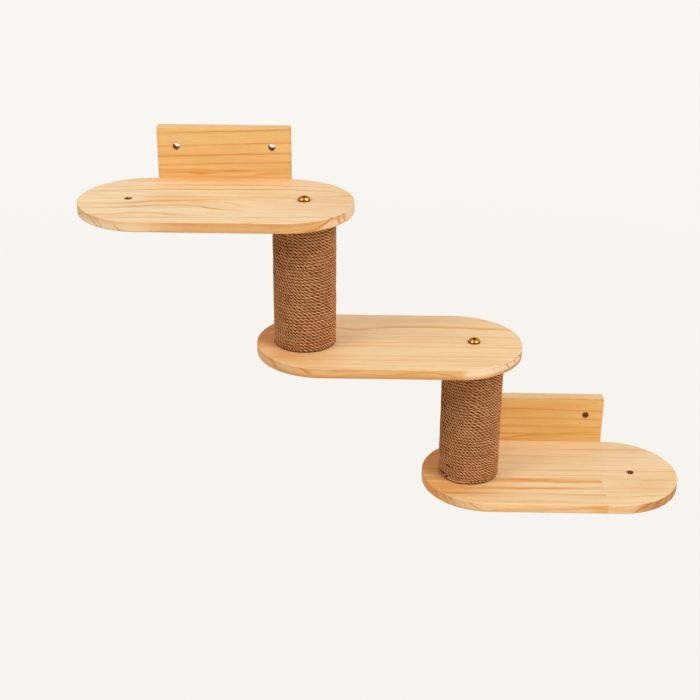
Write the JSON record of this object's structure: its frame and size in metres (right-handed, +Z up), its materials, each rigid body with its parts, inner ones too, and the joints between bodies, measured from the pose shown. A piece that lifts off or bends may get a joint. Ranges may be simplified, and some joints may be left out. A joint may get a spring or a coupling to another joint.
{
  "type": "wall-mounted cat ladder",
  "caption": "Wall-mounted cat ladder: round-ended pine shelves stepping down to the right on rope-wound posts, with drilled boards for the wall screws.",
  "frame": {"origin": "on the wall, on the plane of the top board's rear face, midway between its two wall holes", "axes": "+X right along the wall, +Y into the wall, +Z up"},
  "size_m": [0.864, 0.208, 0.5144],
  "materials": {
    "pine_shelf": "pale solid pine, satin clear coat, edge-glued strips",
    "pine_wall_board": "honey pine, satin clear coat",
    "zinc_screw": "yellow zinc",
    "cardboard_tube": "spiral-wound grey-brown card",
    "sisal_rope": "laid natural fibre rope, warm brown, matt",
    "staple_wire": "galvanised wire",
    "plywood_plug": "sawn plywood",
    "zinc_nut": "blue zinc",
    "brass_bolt": "bright brass plating"
  },
  "bodies": {
    "root": {"top_shelf": "pine_shelf", "middle_shelf": "pine_shelf", "bottom_shelf": "pine_shelf", "top_wall_board": "pine_wall_board", "bottom_wall_board": "pine_wall_board", "top_board_screws": "zinc_screw", "bottom_board_screws": "zinc_screw", "upper_post_tube": "cardboard_tube", "lower_post_tube": "cardboard_tube", "upper_post_rope": "sisal_rope", "lower_post_rope": "sisal_rope", "upper_post_staples": "staple_wire", "lower_post_staples": "staple_wire", "upper_post_top_plug": "plywood_plug", "upper_post_bottom_plug": "plywood_plug", "lower_post_top_plug": "plywood_plug", "lower_post_bottom_plug": "plywood_plug", "upper_post_top_nut": "zinc_nut", "upper_post_bottom_nut": "zinc_nut", "lower_post_top_nut": "zinc_nut", "lower_post_bottom_nut": "zinc_nut", "upper_post_top_bolt": "brass_bolt", "upper_post_bottom_bolt": "brass_bolt", "lower_post_top_bolt": "brass_bolt", "lower_post_bottom_bolt": "brass_bolt"}
  },
  "joints": []
}
